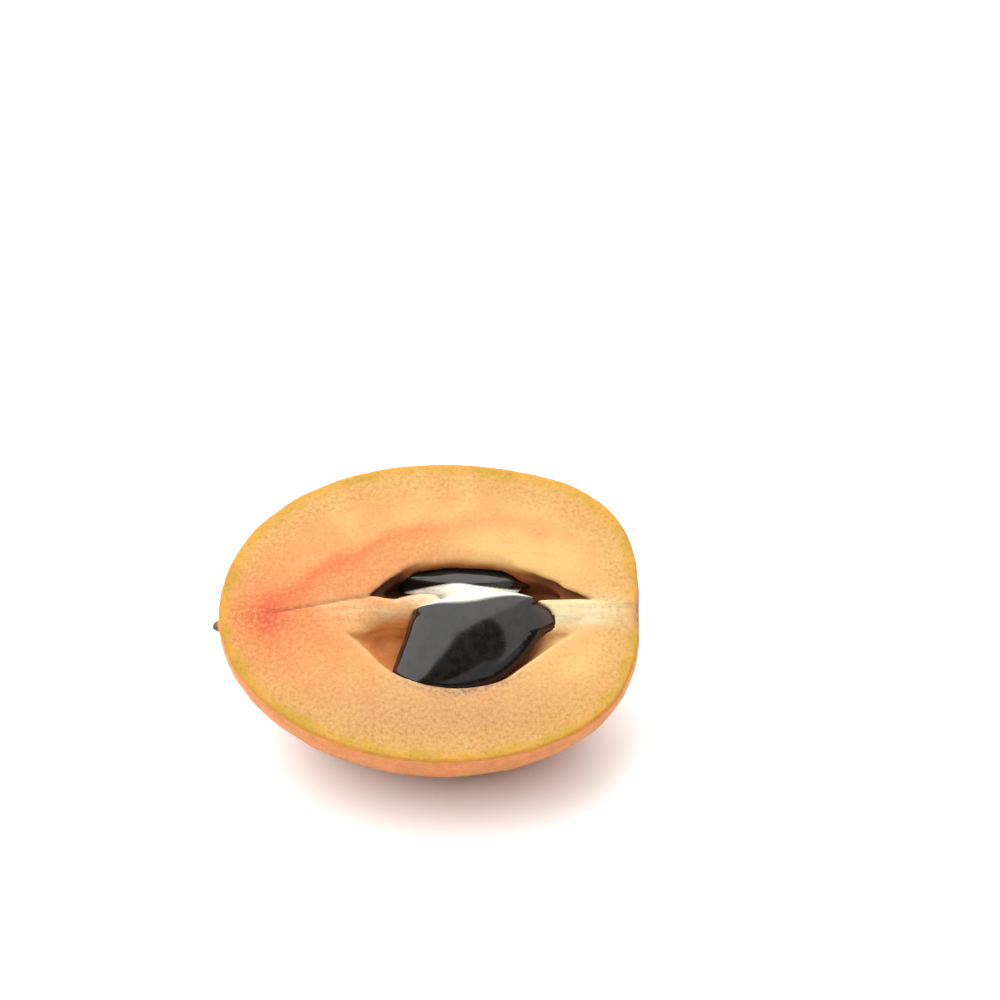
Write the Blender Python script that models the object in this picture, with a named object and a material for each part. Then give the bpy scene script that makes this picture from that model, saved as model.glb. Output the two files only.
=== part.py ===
"""Half of a ripe sapodilla, cut lengthwise through the core, with two glossy black seeds in its hollows.

The cut frame has its own axes: +X runs along the core from the blossom end to the stem end, +Y lies across
the cut face, and +Z points straight out of the cut face. An empty leans that frame towards -Y, and the half
rests on a small flat spot of its skin. The world origin lies on that flat spot.
"""

import math

import bmesh
import bpy
from mathutils import Matrix, Vector

MM = 0.001

# The whole fruit, before it is cut
FRUIT_LENGTH = 56 * MM
DEPTH_SHARE = 0.98  # the fruit is a little flatter across the cut than along it
BLOSSOM_DIP = 3.0 * MM  # how far under the cut face the blossom point lies
# Each side of the cut face: its reach from the core, how much fuller it is towards the stem end and at both
# ends, and how much squarer its stem end is than the round blossom end
UPPER_SIDE = {"reach": 21.9 * MM, "stem_swell": 0.045, "end_swell": 0.08, "bluntness": 1.0}
LOWER_SIDE = {"reach": 21.3 * MM, "stem_swell": 0.07, "end_swell": 0.02, "bluntness": 0.5}

# How the half lies: its cut frame's turn about the core and its place, which sinks the skin about a millimetre
# below the ground, where it is pressed flat
LEAN = math.radians(22)
CUT_FRAME_AT = Vector((-1.0, -0.2, 21.5)) * MM

# Gaps and resolutions
SEED_GAP = 0.35 * MM
FRUIT_SIDES, FRUIT_RINGS = 64, 36
LOCULE_SIDES, LOCULE_RINGS = 28, 24
SEED_SIDES, SEED_RINGS = 48, 20
POINT_SIDES, POINT_RINGS = 12, 8
SCAR_SIDES, SCAR_RINGS = 48, 96
ON_EQUATOR = 1e-6  # a unit sphere's points this near its middle plane lie in it

# The seed, in its own frame: +X towards its beak, +Y towards its scar edge, Z through its thickness
SEED_THICKNESS = 4.6 * MM
SEED_DOME = 2.6  # a higher power makes the flat sides flatter
RIM_ROUNDNESS, SCAR_BLUNTNESS = 2.0, 4.5  # of the rim all round, and what the scar edge adds to it
SCAR_RISE = 0.3 * MM
SCAR_STEEPNESS = 8  # a higher power keeps the rise nearer the edge
SCAR_FROM, SCAR_TO = math.radians(33), math.radians(153)  # the scar's stretch of the outline
SCAR_FADE = math.radians(9)
SEED_OUTLINE_MM = (
    (10.9, 3.0), (10.5, 1.7), (9.2, 1.1), (7.6, -1.4), (5.6, -3.8), (3.2, -5.7), (0.2, -6.9),
    (-3.2, -7.4), (-6.6, -7.2), (-9.4, -6.2), (-10.7, -4.6), (-10.2, -2.4), (-9.2, 0.4), (-8.4, 3.0),
    (-7.4, 4.1), (-5.4, 4.9), (-2.9, 5.6), (0.0, 6.1), (3.0, 6.3), (6.0, 6.0), (8.6, 5.3), (10.2, 4.3),
)

# Each seed's place in the cut frame, and its turn about the core
LOWER_SEED = {"at": (5.9 * MM, -3.75 * MM, -1.3 * MM), "turn": math.radians(8), "scale": 1.0}
UPPER_SEED = {"at": (3.4 * MM, 8.94 * MM, -5.15 * MM), "turn": math.radians(148), "scale": 0.98}

# Each hollow is a lens: its middle, its half sizes along the core, outwards and through, the turn of its flat
# side about the core, its swing in the cut face, how much its ends bend to the core, how far its widest
# station is shifted to the blossom end, and how pointed its ends are (1 gives a round end)
LOWER_LOCULE = {
    "at": (4.1 * MM, -5.7 * MM, -0.6 * MM),
    "half": (15.2 * MM, 4.8 * MM, 5.2 * MM),
    "turn": math.radians(8),
    "swing": 0.0,
    "bend": 2.9 * MM,
    "shift": 0.5 * MM,
    "pointedness": 2.0,
}
UPPER_LOCULE = {
    "at": (7.2 * MM, 5.45 * MM, -2.9 * MM),
    "half": (16.0 * MM, 5.8 * MM, 3.3 * MM),
    "turn": math.radians(147),
    "swing": math.radians(-0.8),
    "bend": 4.9 * MM,
    "shift": 3.1 * MM,
    "pointedness": 3.2,
}

# The ends of the fruit
BLOSSOM_POINT_RADIUS = 0.8 * MM
BLOSSOM_POINT_LENGTH = 0.9 * MM
BLOSSOM_POINT_AT = Vector((-FRUIT_LENGTH / 2, -0.6 * MM, -BLOSSOM_DIP - 0.4 * MM))
STEM_SCAR_RADIUS = 3.0 * MM
STEM_SCAR_DEPTH = 0.7 * MM

SKIN = ((0.60, 0.30, 0.11), 0.62)
FLESH = ((0.88, 0.55, 0.24), 0.45)
SEED = ((0.012, 0.011, 0.011), 0.12)
BLOSSOM_TIP = ((0.16, 0.11, 0.08), 0.8)


def clear_scene():
    for old in list(bpy.data.objects):
        bpy.data.objects.remove(old, do_unlink=True)


def new_collection(name):
    made = bpy.data.collections.new(name)
    bpy.context.scene.collection.children.link(made)
    return made


def new_material(name, look):
    colour, roughness = look
    material = bpy.data.materials.new(name)
    material.use_nodes = True
    shader = material.node_tree.nodes["Principled BSDF"]
    shader.inputs["Base Color"].default_value = (*colour, 1)
    shader.inputs["Roughness"].default_value = roughness
    shader.inputs["Metallic"].default_value = 0
    material.diffuse_color = (*colour, 1)
    return material


def smooth_step(share):
    share = min(max(share, 0.0), 1.0)
    return share * share * (3 - 2 * share)


def unit_sphere(sides, rings):
    """A sphere of radius 1 whose poles lie on Z."""
    sphere = bmesh.new()
    bmesh.ops.create_uvsphere(sphere, u_segments=sides, v_segments=rings, radius=1)
    return sphere


def finish_mesh(shape, name, material, smooth=True):
    """Turns the bmesh into a mesh with its faces pointing out."""
    bmesh.ops.recalc_face_normals(shape, faces=shape.faces)
    mesh = bpy.data.meshes.new(name)
    shape.to_mesh(mesh)
    shape.free()
    mesh.materials.append(material)
    if smooth:
        mesh.shade_smooth()
    return mesh


def add_object(name, mesh, collection, parent):
    made = bpy.data.objects.new(name, mesh)
    made.parent = parent
    collection.objects.link(made)
    return made


def add_cutter(name, mesh, collection, parent):
    cutter = add_object(name, mesh, collection, parent)
    cutter.hide_render = True
    cutter.display_type = "WIRE"
    return cutter


def combine(target, other, operation):
    step = target.modifiers.new(other.name, "BOOLEAN")
    step.operation = operation
    step.solver = "EXACT"
    step.object = other
    step.material_mode = "TRANSFER"


def side_radius(side, along):
    """The fruit's radius on one side, at a share of the half length from its middle."""
    ring = math.sqrt(max(1 - along * along, 0.0))
    squareness = 2 + side["bluntness"] * smooth_step(along)
    swell = 1 + side["stem_swell"] * along + side["end_swell"] * along * along
    return side["reach"] * swell * ring ** (2 / squareness)


def fruit_mesh(material):
    """An egg about the fruit's own axis: round at the blossom end and blunt at the stem end."""
    shape = unit_sphere(FRUIT_SIDES, FRUIT_RINGS)
    for vertex in shape.verts:
        along = vertex.co.z
        across = Vector((vertex.co.x, vertex.co.y))
        if across.length > 0:
            across.normalize()
        upper = smooth_step((1 + across.x) / 2)
        radius = side_radius(UPPER_SIDE, along) * upper + side_radius(LOWER_SIDE, along) * (1 - upper)
        vertex.co = (along * FRUIT_LENGTH / 2, across.x * radius, across.y * radius * DEPTH_SHARE)
    axis_tilt = math.asin(BLOSSOM_DIP / FRUIT_LENGTH)
    placing = Matrix.Translation((0, 0, -BLOSSOM_DIP / 2)) @ Matrix.Rotation(-axis_tilt, 4, "Y")
    bmesh.ops.transform(shape, matrix=placing, verts=shape.verts)
    return finish_mesh(shape, "fruit_half", material)


def blossom_point_mesh(material):
    """The dry remnant of the flower at the blossom end: a small blunt peg."""
    shape = unit_sphere(POINT_SIDES, POINT_RINGS)
    for vertex in shape.verts:
        vertex.co.x *= BLOSSOM_POINT_RADIUS
        vertex.co.y *= BLOSSOM_POINT_RADIUS
        vertex.co.z *= BLOSSOM_POINT_LENGTH
    place = Matrix.Translation(BLOSSOM_POINT_AT)
    bmesh.ops.transform(shape, matrix=place @ Matrix.Rotation(math.pi / 2, 4, "Y"), verts=shape.verts)
    return finish_mesh(shape, "blossom_point", material)


def stem_scar_mesh(material):
    """A shallow dish where the stalk came away, in the middle of the stem end."""
    bulge = (STEM_SCAR_RADIUS ** 2 + STEM_SCAR_DEPTH ** 2) / (2 * STEM_SCAR_DEPTH)
    shape = unit_sphere(SCAR_SIDES, SCAR_RINGS)
    for vertex in shape.verts:
        vertex.co *= bulge
    place = Matrix.Translation((FRUIT_LENGTH / 2 + bulge - STEM_SCAR_DEPTH, 0, 0))
    bmesh.ops.transform(shape, matrix=place @ Matrix.Rotation(math.pi / 2, 4, "Y"), verts=shape.verts)
    return finish_mesh(shape, "stem_scar", material)


def locule_mesh(name, locule, material):
    """A flat hollow with pointed ends that bend to the core."""
    half_length, half_reach, half_depth = locule["half"]
    shape = unit_sphere(LOCULE_SIDES, LOCULE_RINGS)
    for vertex in shape.verts:
        along, reach, depth = vertex.co.z, vertex.co.x, vertex.co.y
        taper = math.sqrt(max(1 - along * along, 0.0)) ** (locule["pointedness"] - 1)
        vertex.co = (
            along * half_length - locule["shift"] * (1 - along * along),
            reach * half_reach * taper + locule["bend"] * along * along,
            depth * half_depth * math.sqrt(taper),
        )
    swing = Matrix.Rotation(locule["swing"], 4, "Z")
    place = Matrix.Translation(locule["at"]) @ swing @ Matrix.Rotation(locule["turn"], 4, "X")
    bmesh.ops.transform(shape, matrix=place, verts=shape.verts)
    return finish_mesh(shape, name, material)


def outline_radii():
    """The seed's outline as (angle, radius) pairs, in rising order of angle."""
    return sorted((math.atan2(y, x), math.hypot(x, y) * MM) for x, y in SEED_OUTLINE_MM)


def outline_radius(angle, pairs):
    """A smooth closed curve through the outline's points, read at one angle."""
    count = len(pairs)
    after = next((i for i, pair in enumerate(pairs) if pair[0] > angle), count)

    def pair_at(index):
        turns, place = divmod(index, count)
        return pairs[place][0] + turns * math.tau, pairs[place][1]

    (a0, r0), (a1, r1), (a2, r2), (a3, r3) = (pair_at(after + step) for step in (-2, -1, 0, 1))
    span = a2 - a1
    share = (angle - a1) / span
    slope_1 = (r2 - r0) / (a2 - a0) * span
    slope_2 = (r3 - r1) / (a3 - a1) * span
    square, cube = share ** 2, share ** 3
    return (
        (2 * cube - 3 * square + 1) * r1
        + (cube - 2 * square + share) * slope_1
        + (3 * square - 2 * cube) * r2
        + (cube - square) * slope_2
    )


def scar_share(angle):
    """1 along the scar edge of the seed and 0 round the rest of it."""
    return smooth_step((angle - SCAR_FROM) / SCAR_FADE + 0.5) * smooth_step((SCAR_TO - angle) / SCAR_FADE + 0.5)


def seed_bmesh(scale, gap):
    """A flat seed with a blunt scar edge. A gap above 0 gives the room that the seed needs."""
    pairs = outline_radii()
    shape = unit_sphere(SEED_SIDES, SEED_RINGS)
    for vertex in shape.verts:
        spread = min(math.hypot(vertex.co.x, vertex.co.y), 1.0)
        angle = math.atan2(vertex.co.y, vertex.co.x)
        on_scar = scar_share(angle)
        dome = (1 - spread ** SEED_DOME) ** (1 / (RIM_ROUNDNESS + SCAR_BLUNTNESS * on_scar))
        height = math.copysign(SEED_THICKNESS / 2 * dome, vertex.co.z)
        if abs(vertex.co.z) < ON_EQUATOR:
            height = 0.0
        ridge = on_scar * SCAR_RISE * spread ** SCAR_STEEPNESS
        reach = (outline_radius(angle, pairs) * spread + ridge) * scale + gap * spread
        height = height * scale + math.copysign(gap, height) * abs(vertex.co.z)
        vertex.co = (reach * math.cos(angle), reach * math.sin(angle), height)
    return shape


def seed_placing(seed):
    return Matrix.Translation(seed["at"]) @ Matrix.Rotation(seed["turn"], 4, "X")


def seed_room_mesh(name, seed, material):
    shape = seed_bmesh(seed["scale"], SEED_GAP)
    bmesh.ops.transform(shape, matrix=seed_placing(seed), verts=shape.verts)
    return finish_mesh(shape, name, material)


def add_seed(name, seed, collection, parent, material):
    made = add_object(name, finish_mesh(seed_bmesh(seed["scale"], 0.0), name, material), collection, parent)
    made.matrix_local = seed_placing(seed)
    return made


def box_mesh(name, low, high, material):
    shape = bmesh.new()
    bmesh.ops.create_cube(shape, size=1)
    size = Vector(high) - Vector(low)
    middle = (Vector(high) + Vector(low)) / 2
    for vertex in shape.verts:
        vertex.co = Vector(a * b for a, b in zip(vertex.co, size)) + middle
    return finish_mesh(shape, name, material, smooth=False)


def main():
    clear_scene()
    parts = new_collection("sapodilla_half")
    cutters = new_collection("cutters")
    skin = new_material("skin", SKIN)
    flesh = new_material("flesh", FLESH)
    seed = new_material("seed", SEED)
    tip = new_material("blossom_tip", BLOSSOM_TIP)

    cut_frame = bpy.data.objects.new("cut_frame", None)
    cut_frame.matrix_world = Matrix.Translation(CUT_FRAME_AT) @ Matrix.Rotation(LEAN, 4, "X")
    parts.objects.link(cut_frame)

    half = add_object("fruit_half", fruit_mesh(skin), parts, cut_frame)
    point = add_cutter("blossom_point", blossom_point_mesh(tip), cutters, cut_frame)
    combine(half, point, "UNION")

    reach = FRUIT_LENGTH
    above_cut = box_mesh("above_cut", (-reach, -reach, 0), (reach, reach, reach), flesh)
    hollows = [
        add_cutter("above_cut", above_cut, cutters, cut_frame),
        add_cutter("stem_scar", stem_scar_mesh(skin), cutters, cut_frame),
        add_cutter("locule_lower", locule_mesh("locule_lower", LOWER_LOCULE, flesh), cutters, cut_frame),
        add_cutter("locule_upper", locule_mesh("locule_upper", UPPER_LOCULE, flesh), cutters, cut_frame),
        add_cutter("room_lower", seed_room_mesh("room_lower", LOWER_SEED, flesh), cutters, cut_frame),
        add_cutter("room_upper", seed_room_mesh("room_upper", UPPER_SEED, flesh), cutters, cut_frame),
    ]
    below_rest = box_mesh("below_rest", (-reach, -reach, -reach), (reach, reach, 0), skin)
    hollows.append(add_cutter("below_rest", below_rest, cutters, None))
    for hollow in hollows:
        combine(half, hollow, "DIFFERENCE")

    add_seed("seed_lower", LOWER_SEED, parts, cut_frame, seed)
    add_seed("seed_upper", UPPER_SEED, parts, cut_frame, seed)


main()
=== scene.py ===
"""The looks of the sapodilla half: granular flesh, thin skin and two glossy black seeds on a white floor.

Shapes are worked out in the cut frame, in millimetres: u runs along the core from the blossom end to the stem
end, v lies across the cut face, and w points straight out of the cut face. The fine mesh of the flesh follows
the zero surface of a field: a number for each point, below 0 inside and near the distance to the surface.
"""

import math

import bmesh
import bpy
import numpy as np
from mathutils import Matrix, Vector


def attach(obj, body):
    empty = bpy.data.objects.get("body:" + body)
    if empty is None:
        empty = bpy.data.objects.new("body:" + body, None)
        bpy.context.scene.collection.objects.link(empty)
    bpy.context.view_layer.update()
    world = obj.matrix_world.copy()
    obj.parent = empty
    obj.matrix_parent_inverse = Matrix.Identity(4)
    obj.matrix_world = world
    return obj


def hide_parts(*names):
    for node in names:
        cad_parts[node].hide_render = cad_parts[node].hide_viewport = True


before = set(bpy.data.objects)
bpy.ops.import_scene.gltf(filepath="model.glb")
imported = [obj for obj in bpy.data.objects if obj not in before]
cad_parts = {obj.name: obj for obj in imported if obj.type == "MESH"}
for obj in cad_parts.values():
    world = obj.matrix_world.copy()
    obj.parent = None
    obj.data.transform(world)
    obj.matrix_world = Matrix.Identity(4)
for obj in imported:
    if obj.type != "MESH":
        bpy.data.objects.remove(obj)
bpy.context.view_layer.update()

MM = 0.001

# The cut frame's place in the row frame, as in the CAD source
LEAN = math.radians(22)
CUT_FRAME_AT = Vector((-1.0, -0.2, 21.5)) * MM
CUT_FRAME = Matrix.Translation(CUT_FRAME_AT) @ Matrix.Rotation(LEAN, 4, "X") @ Matrix.Scale(MM, 4)

# The whole fruit's form, as in the CAD source
FRUIT_LENGTH = 56.0
DEPTH_SHARE = 0.98
BLOSSOM_DIP = 3.0
UPPER_SIDE = {"reach": 21.9, "stem_swell": 0.045, "end_swell": 0.08, "bluntness": 1.0}
LOWER_SIDE = {"reach": 21.3, "stem_swell": 0.07, "end_swell": 0.02, "bluntness": 0.5}
FRUIT_AXIS = Matrix.Translation((0, 0, -BLOSSOM_DIP / 2)) @ Matrix.Rotation(
    -math.asin(BLOSSOM_DIP / FRUIT_LENGTH), 4, "Y"
)
BLOSSOM_POINT_AT = (-FRUIT_LENGTH / 2, -0.6, -BLOSSOM_DIP - 0.4)
BLOSSOM_POINT_HALF = (0.9, 0.8, 0.8)
STEM_SCAR_RADIUS = 3.0
STEM_SCAR_DEPTH = 0.7

# The hollows' form, as in the CAD source
LOWER_LOCULE = {
    "at": (4.1, -5.7, -0.6), "half": (15.2, 4.8, 5.2), "turn": math.radians(8), "swing": 0.0,
    "bend": 2.9, "shift": 0.5, "pointedness": 2.0,
}
UPPER_LOCULE = {
    "at": (7.2, 5.45, -2.9), "half": (16.0, 5.8, 3.3), "turn": math.radians(147), "swing": math.radians(-0.8),
    "bend": 4.9, "shift": 3.1, "pointedness": 3.2,
}

# The seed's form, as in the CAD source
SEED_THICKNESS = 4.6
SEED_DOME = 2.6
RIM_ROUNDNESS, SCAR_BLUNTNESS = 2.0, 4.5
SCAR_RISE = 0.3
SCAR_STEEPNESS = 8
SCAR_FROM, SCAR_TO = math.radians(33), math.radians(153)
SCAR_FADE = math.radians(9)
SEED_OUTLINE = (
    (10.9, 3.0), (10.5, 1.7), (9.2, 1.1), (7.6, -1.4), (5.6, -3.8), (3.2, -5.7), (0.2, -6.9),
    (-3.2, -7.4), (-6.6, -7.2), (-9.4, -6.2), (-10.7, -4.6), (-10.2, -2.4), (-9.2, 0.4), (-8.4, 3.0),
    (-7.4, 4.1), (-5.4, 4.9), (-2.9, 5.6), (0.0, 6.1), (3.0, 6.3), (6.0, 6.0), (8.6, 5.3), (10.2, 4.3),
)
LOWER_SEED = {"at": (5.9, -3.75, -1.3), "turn": math.radians(8), "scale": 1.0}
UPPER_SEED = {"at": (3.4, 8.94, -5.15), "turn": math.radians(148), "scale": 0.98}

# The pale scar on each seed's edge: its stretch of the outline, its middle and half width through the seed,
# how far its ends bow down, and the share of its width that it loses towards the blossom end
LOWER_SCAR = {
    "from": math.radians(36), "to": math.radians(150),
    "middle": 0.0, "half_width": 1.72, "bow": 0.0, "taper": 0.0,
}
UPPER_SCAR = {
    "from": math.radians(20), "to": math.radians(150),
    "middle": 0.6, "half_width": 2.0, "bow": 2.1, "taper": 0.2,
}

# The fine mesh of the flesh: the box and the step of its grid, and how often its points are evened out
GRID_LOW, GRID_HIGH = (-30.0, -22.6, -22.8), (28.8, 23.4, 0.9)
STEP = 0.3
SETTLE_ROUNDS = 4
TINY = 1e-9

# How widely the edges of the half are rounded; the lower hollow's lip grows rounder towards the core
SKIN_ROUNDING = 0.5
RIM_ROUNDING = 0.6
CORE_ROUNDING = 0.5
UPPER_LIP_ROUNDING = 1.1
LOWER_LIP_ROUNDING, CORE_LIP_ROUNDING = 1.2, 2.6
CORE_SIDE = (-5.0, -1.0)
ROOM_ROUNDING = 0.2

# The free gap round each seed, and how far the hollows' lips waver, over what length
ROOM_GAP = 0.12
LIP_WAVER, WAVER_LENGTH = 0.10, 3.2

# The upper hollow: how far its lip stands in, how much wider it is in its middle stretch, and the slope of
# flesh under the lip there. The middle stretch fades in over the first pair of places along the core, and out
# over the second.
UPPER_LIP = 0.28
LIP_RISE = 0.55
FUNNEL_SLOPE, FUNNEL_DEPTH, FUNNEL_REACH = 0.50, 1.3, 0.9
FUNNEL_ROUNDING = 0.15
MIDDLE_IN, MIDDLE_OUT = (-7.0, 4.0), (18.0, 5.0)

# The lower hollow's ends: where each begins to close and where it has closed, along the core, and how far
LOWER_ENDS = ((-5.5, -10.5, 1.5), (9.5, 16.0, 1.2))

# The fine meshes of the seeds: their grid, how far the outline's corners are eased in the middle of the flat
# sides, how tightly the rim holds its own outline, and the scar's share in the bulge of the flat sides
SEED_SIDES, SEED_RINGS = 240, 100
PROFILE_POINTS = 400
OUTLINE_EASE = math.radians(22)
RIM_HOLD = 8
MEAN_SCAR = 0.12

# The scar's mask: the least spread at which it lies, half the fade at its edges, the stretch over which it
# tapers, how bluntly its ends close, and its least half width
SCAR_REACH = 0.80
SCAR_EDGE = 0.1
SCAR_TAPER = (0.45, 1.0)
SCAR_ENDS = 0.15
LEAST_SCAR = 0.05

# Where the hollows end towards the core: the top edge of the core strip, as points in the cut face
CORE_TOP = (
    (-9.0, 2.35), (-4.5, 2.1), (-2.5, 2.8), (-1.2, 3.05), (0.8, 3.15), (1.8, 2.4), (2.6, 0.6), (12.5, 0.6),
    (14.0, 1.7), (22.0, 1.75),
)

# The camera: its distance, its height above the horizon, the picture's width at the object, and where it
# aims, right of and above the cut frame's origin as the picture shows it
CAMERA_DISTANCE = 500 * MM
CAMERA_HEIGHT = math.radians(43)
SENSOR = 36.0
PICTURE_WIDTH = 132 * MM
AIM_RIGHT, AIM_UP = 9.4 * MM, 14.8 * MM
NEAREST_SEEN = 0.01

# The studio: its floor, the plane of its lights, and how strongly its walls and ceiling shine. The walls fade
# into the ceiling between two rises of the view, where 1 is straight up.
FLOOR_SIZE = 8.0
LIGHT_HEIGHT = 1.5
WALLS, CEILING = 2.2, 0.4
WALLS_TO, CEILING_FROM = 0.1, 0.6

# How many times brighter than a white screen the studio's light makes a white cut face
FACE_LIGHT = 1.62


def srgb(red, green, blue):
    """A screen colour with channels from 0 to 255, as the linear colour that a shader takes."""
    shares = (channel / 255 for channel in (red, green, blue))
    linear = (s / 12.92 if s <= 0.04045 else ((s + 0.055) / 1.055) ** 2.4 for s in shares)
    return (*linear, 1.0)


def lit(red, green, blue):
    """The flesh's own colour, from the screen colour that it takes in the studio's bright light."""
    return (*(channel / FACE_LIGHT for channel in srgb(red, green, blue)[:3]), 1.0)


# Numbers over many points at once

def smooth_step(low, high, values):
    share = np.clip((values - low) / (high - low), 0.0, 1.0)
    return share * share * (3 - 2 * share)


def moved(points, matrix):
    """Points through a 4 by 4 matrix."""
    table = np.array(matrix)
    return points @ table[:3, :3].T + table[:3, 3]


def waves(points, size, seed, count=14):
    """Smooth irregular swells of about that size, from about -1 to 1: a sum of seeded plane waves."""
    draw = np.random.default_rng(seed)
    total = np.zeros(len(points))
    for _ in range(count):
        heading = draw.normal(size=3)
        heading *= draw.uniform(0.6, 1.6) * math.tau / size / np.linalg.norm(heading)
        total += np.cos(points @ heading + draw.uniform(0, math.tau))
    return total / math.sqrt(2 * count)


def near_line(u, v, line, width):
    """1 on a line of (u, v) points, falling off to 0 over about its width."""
    nearest = np.full(u.shape, np.inf)
    for (u0, v0), (u1, v1) in zip(line, line[1:]):
        du, dv = u1 - u0, v1 - v0
        share = np.clip(((u - u0) * du + (v - v0) * dv) / (du * du + dv * dv), 0, 1)
        nearest = np.minimum(nearest, np.hypot(u - u0 - share * du, v - v0 - share * dv))
    return np.exp(-((nearest / width) ** 2))


def blob(u, v, middle, size, turn=0.0):
    """1 at the middle of a soft oval, falling off to 0 past its half sizes."""
    cosine, sine = math.cos(turn), math.sin(turn)
    along = (u - middle[0]) * cosine + (v - middle[1]) * sine
    across = (v - middle[1]) * cosine - (u - middle[0]) * sine
    return np.exp(-((along / size[0]) ** 2 + (across / size[1]) ** 2))


def rounded_max(first, second, width):
    """The greater of two fields, with the corner where they meet rounded off over that width."""
    overlap = np.maximum(width - np.abs(first - second), 0)
    return np.maximum(first, second) + overlap * overlap / (4 * width)


def rounded_min(first, second, width):
    return -rounded_max(-first, -second, width)


# The fields of the fruit's forms

POLE = 0.999


def side_radius(side, along):
    squareness = 2 + side["bluntness"] * smooth_step(0, 1, along)
    swell = 1 + side["stem_swell"] * along + side["end_swell"] * along * along
    return side["reach"] * swell * np.sqrt(1 - along * along) ** (2 / squareness)


def fruit_stations(points):
    """Each point's share along the fruit's axis, its radius, and how much of the upper side it takes."""
    local = moved(points, FRUIT_AXIS.inverted())
    across, under = local[:, 1], local[:, 2] / DEPTH_SHARE
    radius = np.hypot(across, under)
    upper = smooth_step(0, 1, (1 + across / np.maximum(radius, TINY)) / 2)
    return local[:, 0] / (FRUIT_LENGTH / 2), radius, upper


def skin_field(points):
    along, radius, upper = fruit_stations(points)
    inner = np.clip(along, -POLE, POLE)
    skin = side_radius(UPPER_SIDE, inner) * upper + side_radius(LOWER_SIDE, inner) * (1 - upper)
    bluntness = UPPER_SIDE["bluntness"] * upper + LOWER_SIDE["bluntness"] * (1 - upper)
    squareness = 2 + bluntness * smooth_step(0, 1, inner)
    full = skin / (1 - inner * inner) ** (1 / squareness)
    share = radius / full
    measure = share ** squareness + along * along
    slope = np.hypot(squareness * share ** (squareness - 1) / full, along * 4 / FRUIT_LENGTH)
    return (measure - 1) / np.maximum(slope, 0.02)


def locule_field(points, locule):
    """A hollow: a lens whose pointed ends bend to the core."""
    half_length, half_reach, half_depth = locule["half"]
    swing = Matrix.Rotation(locule["swing"], 4, "Z")
    placing = Matrix.Translation(locule["at"]) @ swing @ Matrix.Rotation(locule["turn"], 4, "X")
    x, y, z = moved(points, placing.inverted()).T
    shift = locule["shift"]
    under_root = np.maximum(half_length ** 2 + 4 * shift * (x + shift), 0)
    along = (np.sqrt(under_root) - half_length) / (2 * shift)
    ring = np.sqrt(np.maximum(1 - along * along, 1e-4))
    taper = ring ** (locule["pointedness"] - 1)
    width, depth = half_reach * taper * ring, half_depth * np.sqrt(taper) * ring
    aside = y - locule["bend"] * along * along
    measure = (aside / width) ** 2 + (z / depth) ** 2
    slope = 2 * np.hypot(aside / width ** 2, z / depth ** 2)
    return np.maximum((measure - 1) / np.maximum(slope, 0.1), (np.abs(along) - 1) * half_length)


def scar_share(angles):
    rising = smooth_step(-0.5, 0.5, (angles - SCAR_FROM) / SCAR_FADE)
    falling = smooth_step(-0.5, 0.5, (SCAR_TO - angles) / SCAR_FADE)
    return rising * falling


def outline_radius(angles):
    """The seed's outline read at each angle: a smooth closed curve through its points."""
    pairs = sorted((math.atan2(y, x), math.hypot(x, y)) for x, y in SEED_OUTLINE)
    places, radii = np.array(pairs).T
    count = len(pairs)
    after = np.searchsorted(places, angles, side="right")

    def pair_at(index):
        turns, place = np.divmod(index, count)
        return places[place] + turns * math.tau, radii[place]

    (a0, r0), (a1, r1), (a2, r2), (a3, r3) = (pair_at(after + step) for step in (-2, -1, 0, 1))
    span = a2 - a1
    share = (angles - a1) / span
    slope_1 = (r2 - r0) / (a2 - a0) * span
    slope_2 = (r3 - r1) / (a3 - a1) * span
    square, cube = share ** 2, share ** 3
    return (
        (2 * cube - 3 * square + 1) * r1
        + (cube - 2 * square + share) * slope_1
        + (3 * square - 2 * cube) * r2
        + (cube - square) * slope_2
    )


def seed_placing(seed):
    return Matrix.Translation(seed["at"]) @ Matrix.Rotation(seed["turn"], 4, "X")


def room_field(points, seed):
    """The room that a seed takes, with a small gap round it."""
    x, y, z = moved(points, seed_placing(seed).inverted()).T / seed["scale"]
    angles = np.arctan2(y, x)
    on_scar = scar_share(angles)
    reach = outline_radius(angles) + on_scar * SCAR_RISE + ROOM_GAP
    half_height = SEED_THICKNESS / 2 + ROOM_GAP
    spread = np.hypot(x, y) / reach
    height = np.minimum(np.abs(z) / half_height, 4)
    power = RIM_ROUNDNESS + SCAR_BLUNTNESS * on_scar
    measure = spread ** SEED_DOME + height ** power
    slope_out = SEED_DOME * spread ** (SEED_DOME - 1) / reach
    slope_up = power * height ** (power - 1) / half_height
    return (measure - 1) / np.maximum(np.hypot(slope_out, slope_up), 0.05)


def oval_field(points, middle, half):
    away = (points - middle) / half
    return (np.linalg.norm(away, axis=1) - 1) * min(half)


def stem_dish_field(points):
    bulge = (STEM_SCAR_RADIUS ** 2 + STEM_SCAR_DEPTH ** 2) / (2 * STEM_SCAR_DEPTH)
    middle = (FRUIT_LENGTH / 2 + bulge - STEM_SCAR_DEPTH, 0, 0)
    return np.linalg.norm(points - middle, axis=1) - bulge


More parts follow.
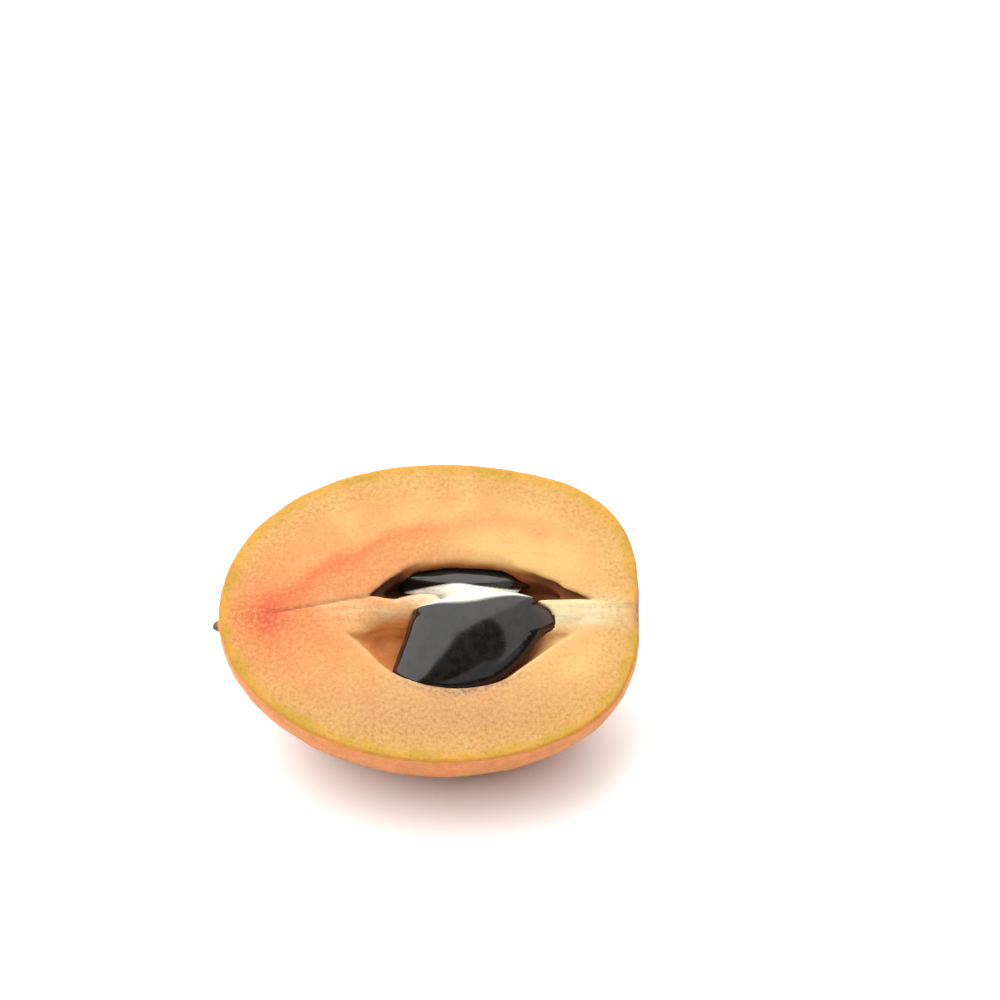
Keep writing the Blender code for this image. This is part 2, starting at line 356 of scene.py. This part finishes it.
def hollow_fields(points):
    """The upper and the lower hollow, with lips that waver a little."""
    u, v, w = points.T
    waver = LIP_WAVER * waves(points, WAVER_LENGTH, seed=3, count=8)
    core_top = np.interp(u, *np.array(CORE_TOP).T)
    upper = rounded_max(locule_field(points, UPPER_LOCULE), core_top - v, CORE_ROUNDING)
    in_middle = smooth_step(*MIDDLE_IN, u) * smooth_step(*MIDDLE_OUT, u)
    at_cut = points * (1, 1, 0)
    funnel = locule_field(at_cut, UPPER_LOCULE) + FUNNEL_SLOPE * np.clip(-w, 0, FUNNEL_DEPTH)
    funnel = funnel - FUNNEL_REACH * (1 - in_middle)
    upper = rounded_max(upper, funnel, FUNNEL_ROUNDING) - LIP_RISE * in_middle
    lower = locule_field(points, LOWER_LOCULE)
    for start, end, rise in LOWER_ENDS:
        lower = lower + rise * smooth_step(start, end, u)
    return upper + UPPER_LIP + waver, lower + waver


def height_above_floor(points):
    return points[:, 1] * math.sin(LEAN) + points[:, 2] * math.cos(LEAN) + CUT_FRAME_AT.z / MM


def half_field(points):
    """The egg and its point, less the stem's dish, the hollows and all above the cut or below the floor."""
    blossom_point = oval_field(points, BLOSSOM_POINT_AT, BLOSSOM_POINT_HALF)
    body = rounded_min(skin_field(points), blossom_point, SKIN_ROUNDING)
    body = rounded_max(body, -stem_dish_field(points), SKIN_ROUNDING)
    body = rounded_max(body, points[:, 2], RIM_ROUNDING)
    upper, lower = hollow_fields(points)
    lower_rounding = LOWER_LIP_ROUNDING + CORE_LIP_ROUNDING * smooth_step(*CORE_SIDE, points[:, 1])
    body = rounded_max(body, -lower, lower_rounding)
    body = rounded_max(body, -upper, UPPER_LIP_ROUNDING)
    for seed in (LOWER_SEED, UPPER_SEED):
        body = rounded_max(body, -room_field(points, seed), ROOM_ROUNDING)
    return rounded_max(body, -height_above_floor(points), SKIN_ROUNDING)


# Drawing a mesh round a field

def surface_net(field, low, high, step):
    """One point in each grid cell that the surface crosses, and one quad across each grid edge it crosses."""
    counts = [math.ceil((b - a) / step) + 1 for a, b in zip(low, high)]
    axes = [a + step * np.arange(count) for a, count in zip(low, counts)]
    grid = np.stack(np.meshgrid(*axes, indexing="ij"), -1).reshape(-1, 3)
    values = field(grid).reshape(counts)
    inside = values < 0
    cells = [count - 1 for count in counts]
    total = np.zeros((*cells, 3))
    hits = np.zeros(cells)
    crossings = []
    for axis in range(3):
        near = tuple(slice(0, -1) if a == axis else slice(None) for a in range(3))
        far = tuple(slice(1, None) if a == axis else slice(None) for a in range(3))
        crossed = inside[near] != inside[far]
        crossings.append(crossed)
        share = np.where(crossed, values[near] / np.where(crossed, values[near] - values[far], 1), 0)
        b, c = (axis + 1) % 3, (axis + 2) % 3
        for corner_b in (0, 1):
            for corner_c in (0, 1):
                window = [slice(None)] * 3
                window[b] = slice(corner_b, corner_b + cells[b])
                window[c] = slice(corner_c, corner_c + cells[c])
                here = crossed[tuple(window)]
                total[..., axis] += share[tuple(window)]
                total[..., b] += here * corner_b
                total[..., c] += here * corner_c
                hits += here
    used = hits > 0
    number = np.full(cells, -1)
    number[used] = np.arange(np.count_nonzero(used))
    points = (np.argwhere(used) + total[used] / hits[used][:, None]) * step + np.array(low)
    return points, np.concatenate([net_quads(crossings[axis], inside, number, axis) for axis in range(3)])


def net_quads(crossed, inside, number, axis):
    """The quads across the crossed grid edges along one axis, each with its face turned outwards."""
    b, c = (axis + 1) % 3, (axis + 2) % 3
    edges = np.argwhere(crossed)
    edges = edges[(edges[:, b] > 0) & (edges[:, c] > 0)]
    corners = []
    for back_b, back_c in ((1, 1), (0, 1), (0, 0), (1, 0)):
        cell = edges.copy()
        cell[:, b] -= back_b
        cell[:, c] -= back_c
        corners.append(number[tuple(cell.T)])
    quads = np.stack(corners, -1)
    leaving = inside[tuple(edges.T)]
    return np.where(leaving[:, None], quads, quads[:, ::-1])


def field_slopes(points, field, reach=0.02):
    """The field at each point, and the way in which it grows."""
    here = field(points)
    slopes = np.empty_like(points)
    for axis in range(3):
        ahead = points.copy()
        ahead[:, axis] += reach
        slopes[:, axis] = (field(ahead) - here) / reach
    return here, slopes


def settle(points, quads, field, rounds):
    """Evens the points out along the surface and lays them onto it."""
    first = quads.ravel()
    second = np.roll(quads, -1, axis=1).ravel()
    neighbours = np.bincount(first, minlength=len(points)) + np.bincount(second, minlength=len(points))
    for _ in range(rounds):
        middle = np.empty_like(points)
        for axis in range(3):
            middle[:, axis] = np.bincount(first, points[second, axis], len(points))
            middle[:, axis] += np.bincount(second, points[first, axis], len(points))
        points = (points + middle / neighbours[:, None]) / 2
        here, slopes = field_slopes(points, field)
        stride = here / np.maximum((slopes ** 2).sum(1), 0.05)
        points = points - np.clip(stride, -STEP, STEP)[:, None] * slopes
    return points


# Meshes and what they keep at each point

def store(mesh, name, values):
    """Keeps one number or one vector for each point, for the material to read."""
    kind = "FLOAT" if values.ndim == 1 else "FLOAT_VECTOR"
    kept = mesh.attributes.new(name, kind, "POINT")
    field = "value" if values.ndim == 1 else "vector"
    kept.data.foreach_set(field, values.astype(np.float32).ravel())


def add_piece(name, mesh, node, material):
    mesh.materials.append(material)
    mesh.shade_smooth()
    piece = bpy.data.objects.new(name, mesh)
    bpy.context.scene.collection.objects.link(piece)
    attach(piece, "root")
    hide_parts(node)


# The half fruit, with its markings as points and lines on the cut face

APEX = (-21.6, -0.2)
ARC = (
    (-21.6, 0.2), (-18.7, 2.3), (-15.6, 5.1), (-13.1, 6.6), (-10.2, 7.9), (-6.3, 10.3), (-3.4, 11.8),
    (0.4, 12.6), (5.0, 13.2), (9.4, 13.2), (14.7, 12.2), (18.6, 11.0),
)
CREASE = ((-22.2, -0.2), (-19.5, 0.2), (-14.4, 1.2), (-10.5, 2.0), (-8.0, 2.3))
CORE_RIGHT = ((12.0, 0.3), (20.0, 0.2), (27.6, -0.1))
CORE_LEFT = ((-13.0, 0.6), (-7.0, 0.4), (-2.0, 1.6), (1.0, 2.0))
CORE_MIDDLE = ((3, 1.9), (13, 1.7))
CORE_SPOTS = (((-1.9, 1.6), (0.8, 1.0)), ((24.5, 1.0), (2.6, 0.8)))


def flesh_masks(points, rim, upper, lower):
    """Where each tone of the half lies, from 0 to 1. u and v waver a little; true_u and true_v don't."""
    sway = np.stack([waves(points, 5.0, seed=11), waves(points, 5.0, seed=12)]) * 0.45
    u, v = points[:, 0] + sway[0], points[:, 1] + sway[1]
    true_u, true_v, w = points.T
    lip = np.minimum(upper, lower)
    from_apex = np.hypot(u - APEX[0], (v - APEX[1]) * np.where(v > 0, 1.5, 1.05))
    skin = smooth_step(0.10, 0.42, -w) * smooth_step(1.4, 0.7, rim)
    face = 1 - skin
    near_apex = np.exp(-((from_apex / 13.0) ** 2))
    arc_top = np.interp(u, *np.array(ARC).T)
    in_tails = smooth_step(-2.5, -4.0, true_u) + 0.5 * smooth_step(12.5, 14.5, true_u)
    lower_lip = np.exp(-((lower / 1.1) ** 2)) * smooth_step(-1.5, -3.5, v)
    placenta = blob(true_u, true_v, (0.5, 2.4), (3.6, 1.5)) + near_line(true_u, true_v, CORE_MIDDLE, 1.0)
    return {
        "skin": skin,
        "under": smooth_step(2.0, 9.0, -w),
        # The hollows' deeper orange: partly the flesh's own tone, partly painted shade that grows with depth
        "hollow": smooth_step(0.2, 1.6, -w) * smooth_step(0.9, 0.5, lip) * face * smooth_step(17, 10, true_u),
        "salmon": near_apex,
        "apex": np.exp(-((from_apex / 3.6) ** 2)),
        "arc": near_line(u, v, ARC, 1.25) * (1 - 0.72 * smooth_step(-14, 8, u)),
        "inner": smooth_step(1.2, -1.2, v - arc_top) * smooth_step(0.4, 2.0, v) * smooth_step(14, -2, u),
        "gold": blob(u, v, (13, 8.5), (11, 4.6), math.radians(-14)) + 0.8 * blob(u, v, (17, -6.5), (7, 4.5)),
        "cream": np.minimum(1.5 * near_line(true_u, true_v, CORE_RIGHT, 2.0), 1) * smooth_step(10, 13, u),
        "streaks": near_line(true_u, true_v, CORE_LEFT, 1.7),
        "placenta": np.clip(placenta, 0, 1) * smooth_step(2.8, 1.4, upper),
        "tan": blob(u, v, (2, -15.5), (22, 6.0)),
        # Painted highlight: a paler cream along the hollows' lips
        "lip": np.clip(lower_lip + 0.7 * np.exp(-((upper / 0.7) ** 2)) * smooth_step(0.6, 0, -w), 0, 1),
        "fuzz": np.exp(-(((lower - 0.6) / 0.7) ** 2)) * blob(true_u, true_v, (4.5, -9.8), (7.5, 2.6)),
        "rim": smooth_step(2.4, 0.9, rim + 0.5 * waves(points, 2.5, seed=5)),
        "band": smooth_step(7.5, 2.5, rim) * smooth_step(0.3, 1.5, rim) * (1 - 0.7 * near_apex),
        # Painted shade: brown on the flesh that slopes down under the upper hollow's lip
        "lip_shade": smooth_step(0.15, 0.8, -w) * smooth_step(1.3, 0.3, upper) * smooth_step(1.9, 2.5, true_v),
        # Painted shade: near-black brown deep in the narrow tails of the upper hollow
        "tail_shade": smooth_step(0.3, 0.8, -w) * smooth_step(0.9, -0.3, upper) * in_tails,
        "olive": blob(true_u, true_v, *CORE_SPOTS[0]) + blob(true_u, true_v, *CORE_SPOTS[1]),
        "edge": smooth_step(0.75, 0.25, rim) * face,
        "crease": near_line(true_u, true_v, CREASE, 0.16) * smooth_step(-22.5, -19.5, true_u),
        "stem": blob(true_u, true_v, (28.5, 0.0), (2.6, 2.6)),
        "peg": smooth_step(-27.6, -28.3, true_u) * smooth_step(-2.2, -2.8, w),
        "cork": smooth_step(1.08, 0.92, np.hypot(true_v, w) / STEM_SCAR_RADIUS) * smooth_step(20, 24, true_u),
    }


def half_relief(points, masks):
    """How far each point is moved out along its normal."""
    u, v, w = points.T
    skin, hollow = masks["skin"], masks["hollow"]
    face = (1 - skin) * (1 - hollow)
    fibre_place = np.stack([u * 0.25, v * 1.6, w], -1)
    fibres = waves(fibre_place, 1.1, seed=21)
    swells = waves(points, 6.0, seed=22)
    grains = waves(points, 0.9, seed=23)
    on_skin = 0.06 * swells + 0.02 * grains + 0.03 * waves(points, 2.2, seed=24) - 0.12
    on_face = 0.05 * swells + 0.018 * grains - 0.28 * masks["crease"] - 0.05
    on_face += masks["cream"] * (0.14 + 0.07 * fibres) + masks["streaks"] * 0.06 * fibres
    in_hollow = 0.07 * swells + 0.05 * fibres
    return skin * on_skin + face * on_face + hollow * in_hollow


def make_half():
    points, quads = surface_net(half_field, GRID_LOW, GRID_HIGH, STEP)
    points = settle(points, quads, half_field, SETTLE_ROUNDS)
    normals = field_slopes(points, half_field)[1]
    normals /= np.maximum(np.linalg.norm(normals, axis=1), TINY)[:, None]
    rim = -skin_field(points)
    upper, lower = hollow_fields(points)
    masks = flesh_masks(points, rim, upper, lower)
    shaped = points + normals * half_relief(points, masks)[:, None]
    world = moved(shaped, CUT_FRAME)
    world[:, 2] = np.maximum(world[:, 2], 0.0)
    mesh = bpy.data.meshes.new("sapodilla_half")
    mesh.from_pydata(world.tolist(), [], quads.tolist())
    for name, values in masks.items():
        store(mesh, name, values)
    store(mesh, "place", points)
    along = fruit_stations(points)[0]
    across = points[:, 1] / np.maximum(np.sqrt(np.clip(1 - along ** 2, 0.03, 1)), 0.2)
    store(mesh, "fan", np.stack([along * 5.0, across, points[:, 2] * 0.4], -1))
    add_piece("sapodilla_half", mesh, "fruit_half", fruit_material())


# The seeds

def eased_outline(angles):
    """The seed's outline with its corners eased, for the middle of the seed's flat sides."""
    offsets = np.linspace(-2, 2, 17) * OUTLINE_EASE
    weights = np.exp(-((offsets / OUTLINE_EASE) ** 2))
    turned = (angles[:, None] + offsets + math.pi) % math.tau - math.pi
    return (outline_radius(turned) * weights).sum(1) / weights.sum()


def seed_profiles(columns, shares):
    """Each point's spread and height on the seed's round, with the points evenly apart from pole to rim."""
    angles = columns / SEED_SIDES * math.tau
    angles = (angles + math.pi) % math.tau - math.pi
    reach = outline_radius(angles)
    on_scar = scar_share(angles)
    spread, height = np.empty(len(columns)), np.empty(len(columns))
    arc = np.linspace(0, math.pi / 2, PROFILE_POINTS)
    for column in np.unique(columns):
        here = columns == column
        out = np.cos(arc) ** (2 / SEED_DOME)
        near_rim = out ** RIM_HOLD
        power = RIM_ROUNDNESS + SCAR_BLUNTNESS * (on_scar[here][0] * near_rim + MEAN_SCAR * (1 - near_rim))
        up = (1 - out ** SEED_DOME) ** (1 / power)
        run = np.hypot(np.diff(out) * reach[here][0], np.diff(up) * SEED_THICKNESS / 2)
        length = np.concatenate([[0], np.cumsum(run)])
        length /= length[-1]
        spread[here] = np.interp(np.abs(shares[here]), length, out)
        height[here] = np.interp(np.abs(shares[here]), length, up) * np.sign(shares[here])
    return angles, reach, on_scar, spread, height * SEED_THICKNESS / 2


def ball_mesh(name):
    """A ball's mesh, with each point's column round it and its share of the way from the rim to a pole."""
    shape = bmesh.new()
    bmesh.ops.create_uvsphere(shape, u_segments=SEED_SIDES, v_segments=SEED_RINGS, radius=1)
    mesh = bpy.data.meshes.new(name)
    shape.to_mesh(mesh)
    shape.free()
    ball = np.empty(len(mesh.vertices) * 3, np.float32)
    mesh.vertices.foreach_get("co", ball)
    ball = ball.reshape(-1, 3).astype(float)
    shares = np.arcsin(np.clip(ball[:, 2], -1, 1)) / (math.pi / 2)
    columns = np.round(np.arctan2(ball[:, 1], ball[:, 0]) / math.tau * SEED_SIDES).astype(int) % SEED_SIDES
    return mesh, columns, shares


def scar_mask(angles, spread, height, look):
    """1 on the pale scar of the seed's edge and 0 off it."""
    share = np.clip((angles - look["from"]) / (look["to"] - look["from"]), 0, 1)
    half_width = look["half_width"] * (1 - look["taper"] * smooth_step(*SCAR_TAPER, share))
    half_width = half_width * np.clip(4 * share * (1 - share), 0, 1) ** SCAR_ENDS
    off_middle = np.abs(height - look["middle"] - look["bow"] * (2 * share - 1) ** 2)
    inside = smooth_step(-SCAR_EDGE, SCAR_EDGE, half_width - off_middle)
    return inside * (spread > SCAR_REACH) * (half_width > LEAST_SCAR)


def seed_relief(local, scar):
    """How far each point is moved out: fibres on the scar, low swells on the coat."""
    along_scar = np.stack([local[:, 0] * 0.2, local[:, 1], local[:, 2] * 1.5], -1)
    fibres = waves(along_scar, 0.9, seed=31)
    swells = waves(local, 5.0, seed=32)
    return scar * (0.05 + 0.05 * fibres) + (1 - scar) * (0.012 * swells - 0.02)


def make_seed(name, node, seed, scar_look):
    mesh, columns, shares = ball_mesh(name)
    angles, outline, on_scar, spread, height = seed_profiles(columns, shares)
    held = spread ** RIM_HOLD
    reach = spread * (outline * held + eased_outline(angles) * (1 - held))
    reach += on_scar * SCAR_RISE * spread ** SCAR_STEEPNESS
    scar = scar_mask(angles, spread, height, scar_look)
    local = np.stack([reach * np.cos(angles), reach * np.sin(angles), height], -1)
    outward = np.stack([np.cos(angles) * held, np.sin(angles) * held, np.sign(height) * (1 - held)], -1)
    local = (local + outward * seed_relief(local, scar)[:, None]) * seed["scale"]
    store(mesh, "scar", scar)
    store(mesh, "edge", smooth_step(0.86, 1.0, spread) * (1 - on_scar))
    store(mesh, "place", local)
    world = moved(moved(local, seed_placing(seed)), CUT_FRAME)
    mesh.vertices.foreach_set("co", world.astype(np.float32).ravel())
    mesh.update()
    add_piece(name, mesh, node, seed_material())


# Materials

class Recipe:
    """One material's nodes, so that each material below reads as a recipe."""

    def __init__(self, name):
        self.material = bpy.data.materials.new(name)
        self.material.use_nodes = True
        self.tree = self.material.node_tree
        self.shader = self.tree.nodes["Principled BSDF"]

    def node(self, kind, **settings):
        made = self.tree.nodes.new(kind)
        for name, value in settings.items():
            setattr(made, name, value)
        return made

    def feed(self, socket, value):
        if isinstance(value, bpy.types.NodeSocket):
            self.tree.links.new(value, socket)
        else:
            socket.default_value = value

    def attribute(self, name, output="Fac"):
        return self.node("ShaderNodeAttribute", attribute_name=name).outputs[output]

    def noise(self, place, scale, detail=2.0, roughness=0.5, distortion=0.0):
        made = self.node("ShaderNodeTexNoise")
        self.feed(made.inputs["Vector"], place)
        made.inputs["Scale"].default_value = scale
        made.inputs["Detail"].default_value = detail
        made.inputs["Roughness"].default_value = roughness
        made.inputs["Distortion"].default_value = distortion
        return made.outputs["Fac"]

    def step(self, value, low, high, to_low=0.0, to_high=1.0):
        """A smooth rise from one value to another."""
        made = self.node("ShaderNodeMapRange", interpolation_type="SMOOTHSTEP")
        self.feed(made.inputs["Value"], value)
        made.inputs["From Min"].default_value = low
        made.inputs["From Max"].default_value = high
        made.inputs["To Min"].default_value = to_low
        made.inputs["To Max"].default_value = to_high
        return made.outputs["Result"]

    def times(self, first, second):
        made = self.node("ShaderNodeMath", operation="MULTIPLY")
        self.feed(made.inputs[0], first)
        self.feed(made.inputs[1], second)
        return made.outputs["Value"]

    def mix(self, low, high, share, blend="MIX"):
        made = self.node("ShaderNodeMix", data_type="RGBA", blend_type=blend)
        self.feed(made.inputs["Factor"], share)
        self.feed(made.inputs[6], low)
        self.feed(made.inputs[7], high)
        return made.outputs[2]

    def bump(self, height, distance, strength=1.0, normal=None):
        made = self.node("ShaderNodeBump")
        self.feed(made.inputs["Height"], height)
        made.inputs["Distance"].default_value = distance
        made.inputs["Strength"].default_value = strength
        if normal is not None:
            self.feed(made.inputs["Normal"], normal)
        return made.outputs["Normal"]


def flesh_colour(r, granules, clumps, drift):
    """The cut face, its core and its hollows: the ground tone, then each marking over it, some of them
    painted shade and a painted highlight.
    """
    fibres = r.noise(r.attribute("fan", "Vector"), 1.3, 3, 0.6)

    def zone(colour, tone, name, amount, source=granules, floor=0.6):
        """Lays a tone over the colour where the named mask is, broken up by noise."""
        broken = r.step(source, 0.35, 0.65, floor * amount, amount)
        return r.mix(colour, tone, r.times(r.attribute(name), broken))

    flesh = r.mix(lit(252, 198, 124), lit(248, 182, 112), r.step(drift, 0.35, 0.65))
    flesh = zone(flesh, lit(246, 140, 84), "salmon", 1.0)
    flesh = zone(flesh, lit(242, 156, 94), "inner", 0.9)
    flesh = zone(flesh, lit(253, 216, 138), "gold", 0.9)
    flesh = zone(flesh, lit(222, 168, 112), "tan", 0.95)
    flesh = r.mix(flesh, lit(245, 128, 78), r.times(r.attribute("arc"), 0.8))
    flesh = zone(flesh, lit(234, 96, 64), "apex", 0.9)
    flesh = r.mix(flesh, lit(248, 142, 92), r.step(fibres, 0.52, 0.72, 0, 0.22))
    flesh = zone(flesh, lit(250, 206, 150), "streaks", 0.9, fibres, 0.3)
    flesh = zone(flesh, lit(252, 236, 188), "cream", 1.0, fibres, 0.75)
    flesh = zone(flesh, lit(255, 246, 214), "placenta", 1.0, fibres, 0.8)
    # Painted highlight: a paler cream along the hollows' lips
    flesh = zone(flesh, lit(249, 198, 140), "lip", 0.7)
    flesh = zone(flesh, lit(236, 184, 100), "band", 0.6, clumps)
    dark = r.step(granules, 0.48, 0.72)
    pale = r.step(granules, 0.52, 0.30)
    flesh = r.mix(flesh, lit(186, 140, 66), r.times(dark, r.times(r.attribute("band"), 0.5)))
    flesh = r.mix(flesh, lit(186, 124, 78), r.times(dark, r.times(r.attribute("tan"), 0.4)))
    flesh = r.mix(flesh, lit(204, 132, 74), r.times(dark, 0.3))
    flesh = r.mix(flesh, lit(255, 224, 152), r.times(pale, 0.3))
    rim_tone = r.mix(lit(242, 184, 76), lit(220, 178, 62), r.step(drift, 0.42, 0.58))
    flesh = r.mix(flesh, rim_tone, r.times(r.attribute("rim"), r.step(clumps, 0.3, 0.6, 0.7, 0.95)))
    flesh = r.mix(flesh, lit(176, 136, 46), r.times(dark, r.times(r.attribute("rim"), 0.6)))
    flesh = r.mix(flesh, lit(226, 142, 62), r.times(r.attribute("edge"), 0.45))
    flesh = r.mix(flesh, lit(170, 80, 50), r.times(r.attribute("crease"), 0.5))
    # The hollows' deeper orange: partly the flesh's own tone, partly painted shade that grows with depth
    flesh = r.mix(flesh, lit(255, 156, 84), r.times(r.attribute("hollow"), 0.85))
    # Painted shade: brown on the flesh under the upper hollow's lip
    flesh = r.mix(flesh, lit(156, 88, 38), r.attribute("lip_shade"))
    # Painted shade: near-black brown deep in the upper hollow's tails
    flesh = r.mix(flesh, lit(70, 36, 20), r.attribute("tail_shade"))
    flesh = r.mix(flesh, lit(84, 80, 88), r.times(r.attribute("fuzz"), r.step(granules, 0.40, 0.6, 0.3, 0.8)))
    flesh = r.mix(flesh, lit(196, 160, 96), r.times(dark, r.attribute("olive")))
    return zone(flesh, lit(236, 166, 128), "stem", 0.8, clumps, 0.3)


def skin_colour(r, granules, clumps, drift, scurf):
    """The skin, browner and more olive underneath, with the stem scar's cork and the dark blossom point."""
    skin = r.mix(srgb(214, 136, 84), srgb(202, 124, 74), r.step(clumps, 0.35, 0.65))
    under = r.attribute("under")
    skin = r.mix(skin, srgb(196, 116, 66), r.times(under, r.step(clumps, 0.35, 0.6)))
    olive = r.times(r.step(drift, 0.42, 0.68), r.step(under, 0, 1, 0.15, 0.8))
    skin = r.mix(skin, srgb(182, 140, 68), r.times(olive, r.step(granules, 0.35, 0.6, 0.5, 1)))
    skin = r.mix(skin, srgb(136, 82, 48), r.times(r.step(scurf, 0.47, 0.68), r.step(under, 0, 1, 0.3, 0.75)))
    pores = r.step(r.noise(r.attribute("place", "Vector"), 5.0, 2, 0.5), 0.60, 0.70)
    skin = r.mix(skin, srgb(224, 172, 118), r.times(pores, 0.35))
    cork = r.mix(srgb(122, 78, 50), srgb(190, 146, 100), r.step(scurf, 0.4, 0.6))
    skin = r.mix(skin, cork, r.attribute("cork"))
    return r.mix(skin, srgb(96, 78, 66), r.attribute("peg"))


def fruit_material():
    r = Recipe("sapodilla_fruit")
    place = r.attribute("place", "Vector")
    granules = r.noise(place, 1.9, 5, 0.7)
    clumps = r.noise(place, 0.6, 4, 0.6)
    drift = r.noise(place, 0.16, 1, 0.5)
    scurf = r.noise(place, 2.8, 5, 0.7)
    flesh = flesh_colour(r, granules, clumps, drift)
    skin = skin_colour(r, granules, clumps, drift, scurf)
    r.feed(r.shader.inputs["Base Color"], r.mix(flesh, skin, r.attribute("skin")))
    r.feed(r.shader.inputs["Roughness"], r.step(r.attribute("skin"), 0, 1, 0.5, 0.6))
    r.shader.inputs["Specular IOR Level"].default_value = 0.15
    r.shader.inputs["Subsurface Weight"].default_value = 0.6
    r.shader.inputs["Subsurface Radius"].default_value = (1.3, 0.5, 0.2)
    r.shader.inputs["Subsurface Scale"].default_value = 1.0 * MM
    grain = r.bump(granules, 0.14 * MM, 0.7)
    r.feed(r.shader.inputs["Normal"], r.bump(scurf, 0.05 * MM, 0.5, grain))
    return r.material


def seed_material():
    kept = bpy.data.materials.get("sapodilla_seed")
    if kept:
        return kept
    r = Recipe("sapodilla_seed")
    place = r.attribute("place", "Vector")
    waves_on_coat = r.noise(place, 0.8, 2, 0.5)
    fibres = r.noise(place, 3.0, 4, 0.6)
    coat = r.mix(srgb(20, 18, 17), srgb(30, 26, 23), r.step(waves_on_coat, 0.4, 0.6))
    coat = r.mix(coat, srgb(66, 36, 22), r.times(r.attribute("edge"), 0.7))
    pale = r.mix(srgb(252, 250, 236), srgb(222, 208, 170), r.step(fibres, 0.52, 0.72))
    scar = r.attribute("scar")
    r.feed(r.shader.inputs["Base Color"], r.mix(coat, pale, scar))
    r.feed(r.shader.inputs["Roughness"], r.step(scar, 0, 1, 0.10, 0.55))
    r.shader.inputs["Specular IOR Level"].default_value = 0.36
    r.feed(r.shader.inputs["Normal"], r.bump(waves_on_coat, 0.05 * MM, 0.06))
    return r.material


def floor_material():
    r = Recipe("white_floor")
    place = r.node("ShaderNodeTexCoord").outputs["Object"]
    tone = r.mix(srgb(249, 249, 249), srgb(252, 252, 252), r.noise(place, 3.0))
    r.feed(r.shader.inputs["Base Color"], tone)
    r.shader.inputs["Roughness"].default_value = 0.7
    r.shader.inputs["Specular IOR Level"].default_value = 0.2
    return r.material


# The stage

def add_floor():
    bpy.ops.mesh.primitive_plane_add(size=FLOOR_SIZE)
    floor = bpy.context.object
    floor.name = "floor"
    floor.data.materials.append(floor_material())


def add_softbox(name, corner, heading, size, radiance, tint=(1, 1, 1)):
    """A flat light under the studio's ceiling, from a corner along a heading and to the left of it."""
    along = Vector((math.cos(heading), math.sin(heading)))
    left = Vector((-along.y, along.x))
    middle = Vector(corner) + along * size[0] / 2 + left * size[1] / 2
    light = bpy.data.lights.new(name, "AREA")
    light.shape = "RECTANGLE"
    light.size, light.size_y = abs(size[0]), abs(size[1])
    light.energy = radiance * math.pi * light.size * light.size_y
    light.color = tint
    box = bpy.data.objects.new(name, light)
    box.location = (*middle, LIGHT_HEIGHT)
    box.rotation_euler = (0, 0, heading)
    bpy.context.scene.collection.objects.link(box)


def add_world():
    """Pale studio walls under a dim ceiling."""
    world = bpy.data.worlds.new("studio")
    world.use_nodes = True
    tree = world.node_tree
    back = tree.nodes["Background"]
    heading = tree.nodes.new("ShaderNodeTexCoord").outputs["Generated"]
    parts = tree.nodes.new("ShaderNodeSeparateXYZ")
    rise = tree.nodes.new("ShaderNodeMapRange")
    rise.interpolation_type = "SMOOTHSTEP"
    rise.inputs["From Min"].default_value = WALLS_TO
    rise.inputs["From Max"].default_value = CEILING_FROM
    rise.inputs["To Min"].default_value = WALLS
    rise.inputs["To Max"].default_value = CEILING
    tree.links.new(heading, parts.inputs[0])
    tree.links.new(parts.outputs["Z"], rise.inputs["Value"])
    tree.links.new(rise.outputs["Result"], back.inputs["Strength"])
    bpy.context.scene.world = world


def add_lights():
    add_world()
    add_softbox(
        "softbox_left", corner=(-1.22, -2.28), heading=math.radians(59.5), size=(6.0, 2.8), radiance=3.5,
    )
    add_softbox(
        "softbox_right", corner=(0.71, -1.35), heading=math.radians(118.2), size=(2.3, -3.2), radiance=1.8,
    )
    add_softbox(
        "softbox_front", corner=(-0.40, -2.35), heading=math.radians(67.5), size=(1.63, -2.2), radiance=0.9,
        tint=(0.9, 0.95, 1.0),
    )


def add_camera():
    right = Vector((1, 0, 0))
    back = Vector((0, -math.cos(CAMERA_HEIGHT), math.sin(CAMERA_HEIGHT)))
    up = back.cross(right)
    aim = CUT_FRAME_AT + right * AIM_RIGHT + up * AIM_UP
    lens = bpy.data.cameras.new("camera")
    lens.sensor_width = SENSOR
    lens.lens = SENSOR * CAMERA_DISTANCE / PICTURE_WIDTH
    lens.clip_start = NEAREST_SEEN
    camera = bpy.data.objects.new("camera", lens)
    axes = Matrix((right, up, back)).transposed().to_4x4()
    camera.matrix_world = Matrix.Translation(aim + back * CAMERA_DISTANCE) @ axes
    bpy.context.scene.collection.objects.link(camera)
    bpy.context.scene.camera = camera


def main():
    make_half()
    make_seed("seed_lower_fine", "seed_lower", LOWER_SEED, LOWER_SCAR)
    make_seed("seed_upper_fine", "seed_upper", UPPER_SEED, UPPER_SCAR)
    add_floor()
    add_lights()
    add_camera()
    bpy.context.scene.view_settings.view_transform = "Standard"


main()
